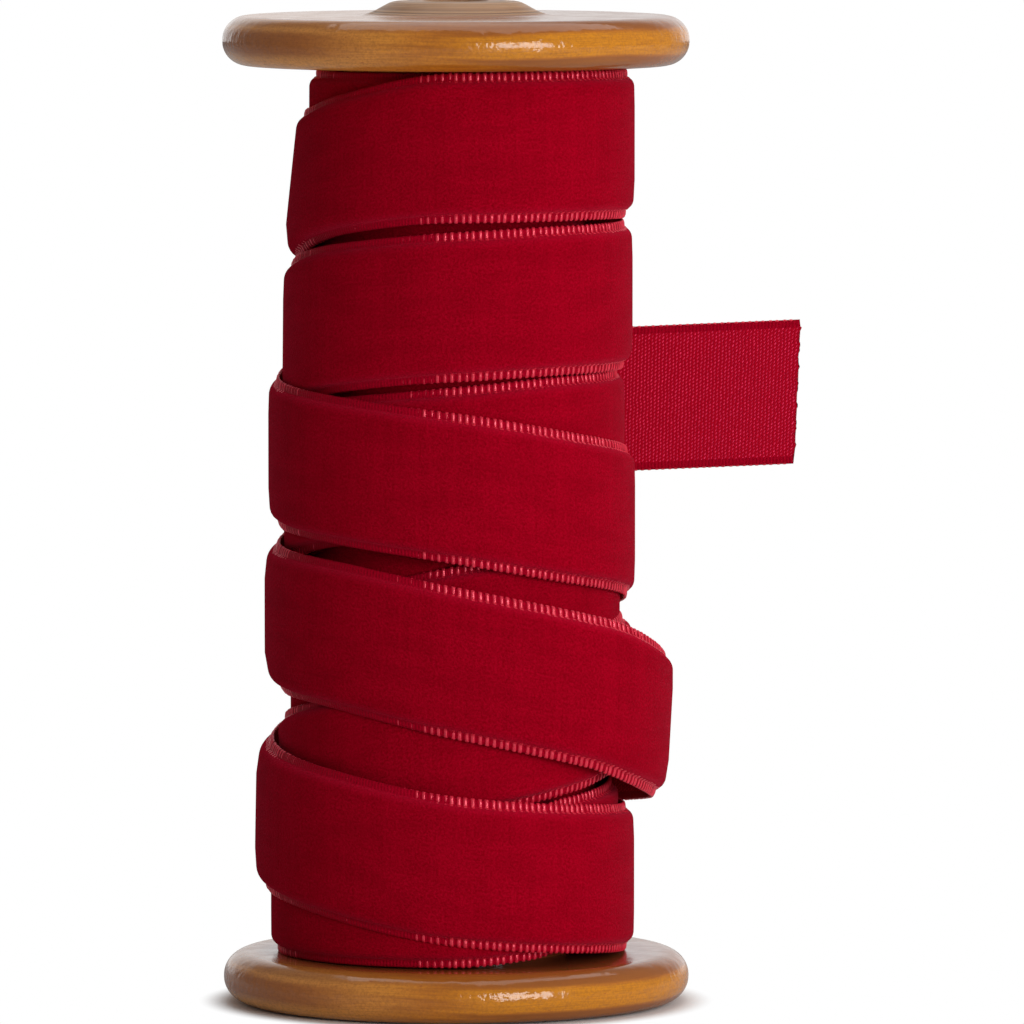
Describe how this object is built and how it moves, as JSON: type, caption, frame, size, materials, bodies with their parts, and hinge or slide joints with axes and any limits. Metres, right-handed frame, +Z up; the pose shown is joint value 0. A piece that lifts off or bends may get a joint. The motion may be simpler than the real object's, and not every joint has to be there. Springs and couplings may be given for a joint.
{
  "type": "ribbon spool",
  "caption": "Wooden spool with rounded end discs and a bore, wound with loose layers of velvet ribbon whose free tail swings out from the back.",
  "frame": {"origin": "centre of the spool's flat base, on the axis of the bore", "axes": "+Z up along the bore, -Y toward the front of the winding, +X the way the ribbon's free tail points"},
  "size_m": [0.0873, 0.07, 0.1503],
  "materials": {
    "varnished_wood": "gloss varnish",
    "velvet": "cut pile",
    "tape": "matte"
  },
  "bodies": {
    "spool": {"lower_flange": "varnished_wood", "upper_flange": "varnished_wood", "barrel": "varnished_wood", "ribbon_start_tape": "tape", "ribbon_layer_1": "velvet", "ribbon_layer_2": "velvet", "ribbon_layer_3": "velvet", "ribbon_layer_4": "velvet"},
    "ribbon_tail": {"ribbon_tail": "velvet"}
  },
  "joints": [
    {"name": "ribbon_tail_swing", "type": "hinge", "parent": "spool", "child": "ribbon_tail", "pos_m": [0.00015, 0.0276, 0.0878], "axis": [0, 0, 1], "range_deg": [0, 60]}
  ]
}
